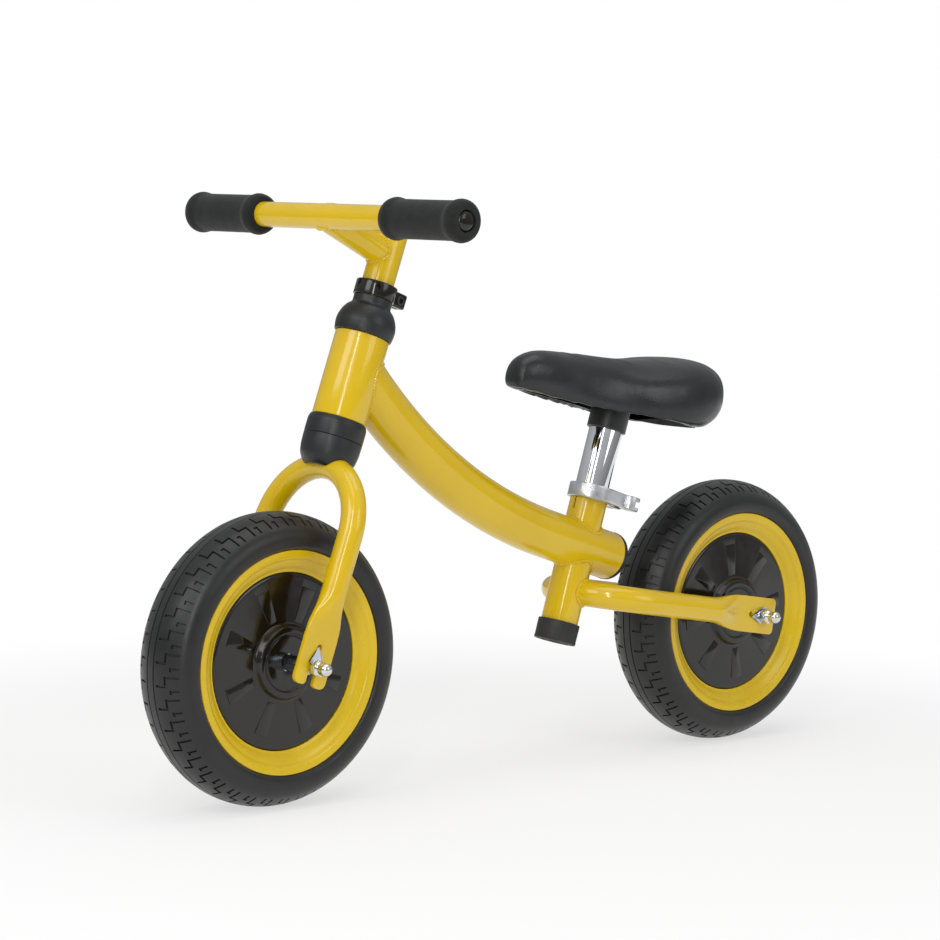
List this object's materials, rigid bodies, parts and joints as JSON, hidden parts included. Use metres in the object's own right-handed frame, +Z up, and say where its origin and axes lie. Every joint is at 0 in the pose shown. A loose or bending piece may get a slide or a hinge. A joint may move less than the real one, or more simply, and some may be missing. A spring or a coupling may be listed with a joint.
{
  "type": "balance bike",
  "caption": "Child's balance bike: curved single-tube frame, solid foam tyres, steering fork, height-adjustable handlebar and saddle.",
  "frame": {"origin": "on the floor, under the middle of the bike's length and width", "axes": "+X forward to the front wheel, +Y to the rider's left, +Z up"},
  "size_m": [0.815, 0.36, 0.5232],
  "materials": {
    "yellow_enamel": "gloss",
    "yellow_plastic": "gloss",
    "foam_tyre": "matte",
    "gloss_black_plastic": "gloss",
    "satin_black_plastic": "satin",
    "grip_foam": "matte",
    "foot_rubber": "matte",
    "bush_plastic": "satin",
    "cast_aluminium": "satin",
    "zinc_steel": "satin",
    "black_steel": "satin",
    "bright_steel": "polished",
    "chrome": "polished",
    "saddle_leatherette": "satin"
  },
  "bodies": {
    "frame": {"frame": "yellow_enamel", "upper_head_bush": "bush_plastic", "lower_head_bush": "bush_plastic", "lower_head_cup": "satin_black_plastic", "down_tube_plug": "satin_black_plastic", "seat_tube_foot": "foot_rubber", "seat_clamp_band": "cast_aluminium", "clamp_skewer": "zinc_steel", "clamp_adjusting_nut": "cast_aluminium", "clamp_cam_washer": "satin_black_plastic", "clamp_cam_pin": "zinc_steel", "rear_axle": "zinc_steel", "rear_axle_sleeve_left": "zinc_steel", "rear_axle_sleeve_right": "zinc_steel", "rear_retention_washer_left": "zinc_steel", "rear_retention_washer_right": "zinc_steel", "rear_dome_nut_left": "bright_steel", "rear_dome_nut_right": "bright_steel"},
    "fork": {"fork": "yellow_enamel", "crown_cover": "satin_black_plastic", "head_ball_cover": "satin_black_plastic", "bar_clamp": "gloss_black_plastic", "bar_clamp_bolt": "black_steel", "bar_clamp_nut": "black_steel", "front_axle": "zinc_steel", "front_axle_sleeve_left": "zinc_steel", "front_axle_sleeve_right": "zinc_steel", "front_retention_washer_left": "zinc_steel", "front_retention_washer_right": "zinc_steel", "front_dome_nut_left": "bright_steel", "front_dome_nut_right": "bright_steel"},
    "handlebar": {"handlebar": "yellow_enamel", "stem_top_plug": "satin_black_plastic", "left_grip": "grip_foam", "right_grip": "grip_foam", "left_grip_plug": "gloss_black_plastic", "right_grip_plug": "gloss_black_plastic"},
    "front_wheel": {"front_tyre": "foam_tyre", "front_rim": "yellow_plastic", "front_cover_left": "gloss_black_plastic", "front_cover_right": "gloss_black_plastic", "front_bearing_left": "zinc_steel", "front_bearing_right": "zinc_steel"},
    "rear_wheel": {"rear_tyre": "foam_tyre", "rear_rim": "yellow_plastic", "rear_cover_left": "gloss_black_plastic", "rear_cover_right": "gloss_black_plastic", "rear_bearing_left": "zinc_steel", "rear_bearing_right": "zinc_steel"},
    "saddle": {"seatpost": "chrome", "saddle_pad": "saddle_leatherette", "saddle_shell": "satin_black_plastic", "saddle_screw": "zinc_steel"},
    "clamp_lever": {"clamp_lever": "cast_aluminium"}
  },
  "joints": [
    {"name": "steering", "type": "hinge", "parent": "frame", "child": "fork", "pos_m": [0.19664, 0, 0.36251], "axis": [-0.3355, 0, 0.9421], "continuous": true},
    {"name": "handlebar_height", "type": "slide", "parent": "fork", "child": "handlebar", "axis": [-0.3355, 0, 0.9421], "range_m": [-0.008, 0.05]},
    {"name": "front_wheel_spin", "type": "hinge", "parent": "fork", "child": "front_wheel", "pos_m": [0.2805, 0, 0.127], "axis": [0, 1, 0], "continuous": true},
    {"name": "rear_wheel_spin", "type": "hinge", "parent": "frame", "child": "rear_wheel", "pos_m": [-0.2805, 0, 0.127], "axis": [0, 1, 0], "continuous": true},
    {"name": "saddle_height", "type": "slide", "parent": "frame", "child": "saddle", "axis": [-0.2974, 0, 0.9548], "range_m": [-0.045, 0.035]},
    {"name": "clamp_lever_swing", "type": "hinge", "parent": "frame", "child": "clamp_lever", "pos_m": [-0.12979, 0.0233, 0.24066], "axis": [-0.2974, 0, 0.9548], "range_deg": [0, 150]}
  ]
}
